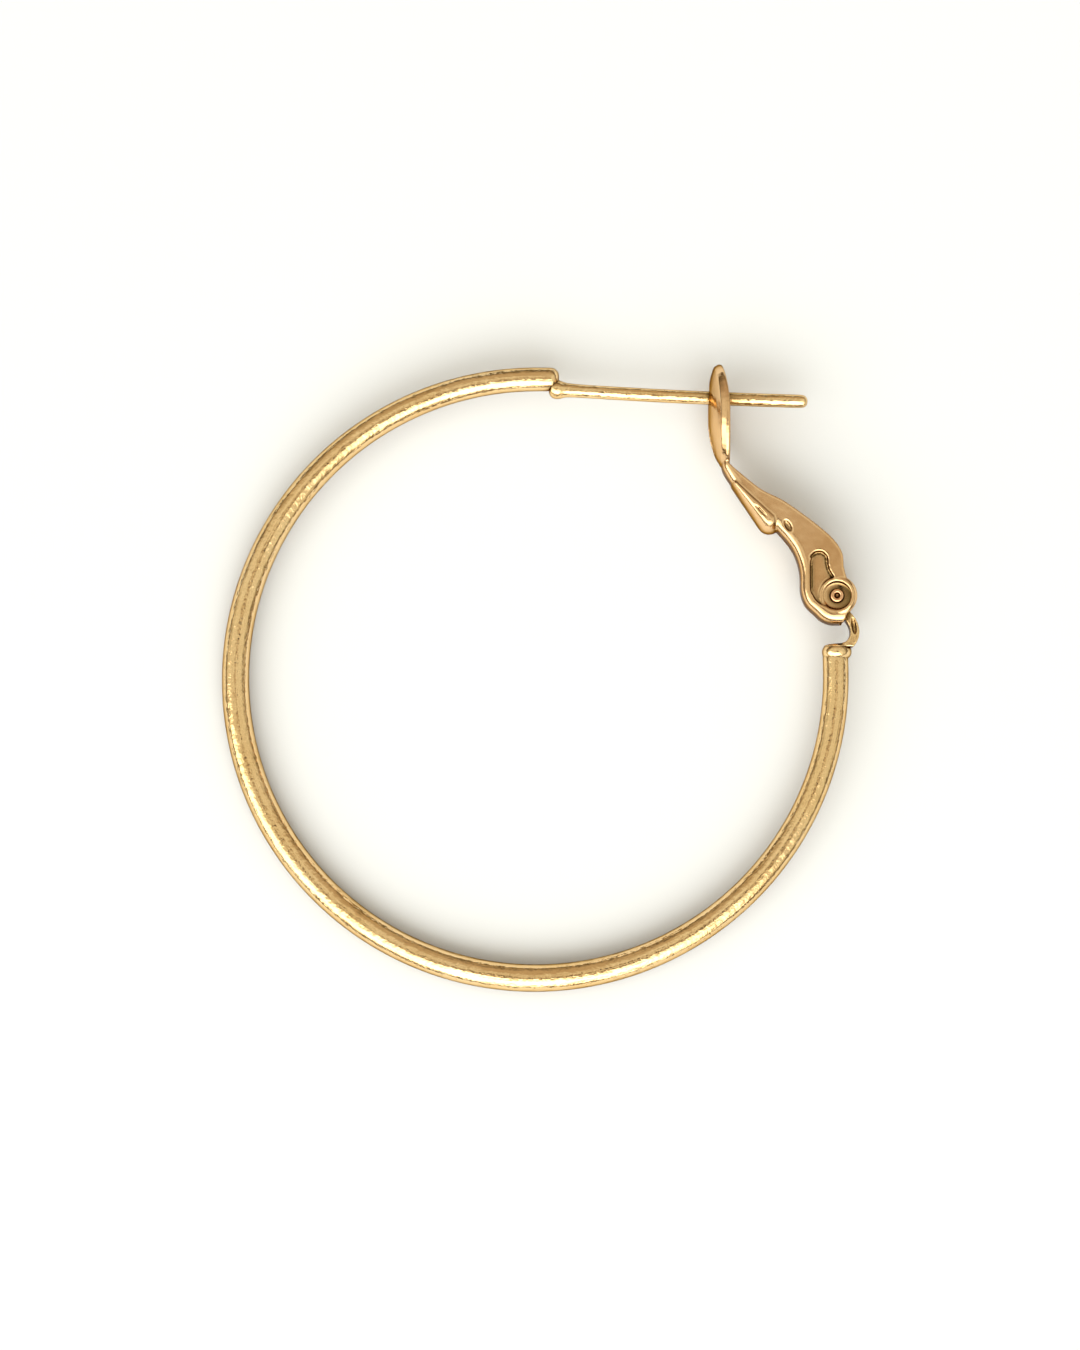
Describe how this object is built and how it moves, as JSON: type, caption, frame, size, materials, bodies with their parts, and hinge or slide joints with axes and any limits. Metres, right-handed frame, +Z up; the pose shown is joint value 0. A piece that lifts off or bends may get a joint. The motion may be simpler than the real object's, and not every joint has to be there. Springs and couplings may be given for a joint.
{
  "type": "hoop earring",
  "caption": "Plain round hoop earring with a straight post and a riveted lever clip that closes over the post.",
  "frame": {"origin": "on the surface that the earring lies on, under the middle of its outline", "axes": "+Z up from that surface, +Y from the hoop's closed side towards the post, +X from the hoop's plain side towards the lever's hinge"},
  "size_m": [0.0356, 0.035, 0.0044],
  "materials": {
    "hoop_plating": "polished warm gold plating on round wire, with faint waves along it",
    "lever_plating": "polished warm gold plating on stamped sheet, a little softer than the wire",
    "rivet_plating": "polished warm gold plating"
  },
  "bodies": {
    "hoop": {"hoop_with_post": "hoop_plating"},
    "lever": {"clip_lever": "lever_plating", "hinge_rivet": "rivet_plating"}
  },
  "joints": [
    {"name": "lever_hinge", "type": "hinge", "parent": "hoop", "child": "lever", "pos_m": [0.01652, 0.00438, 0.00201], "axis": [0.0242, 0.0327, -0.9992], "range_deg": [0, 80]}
  ]
}
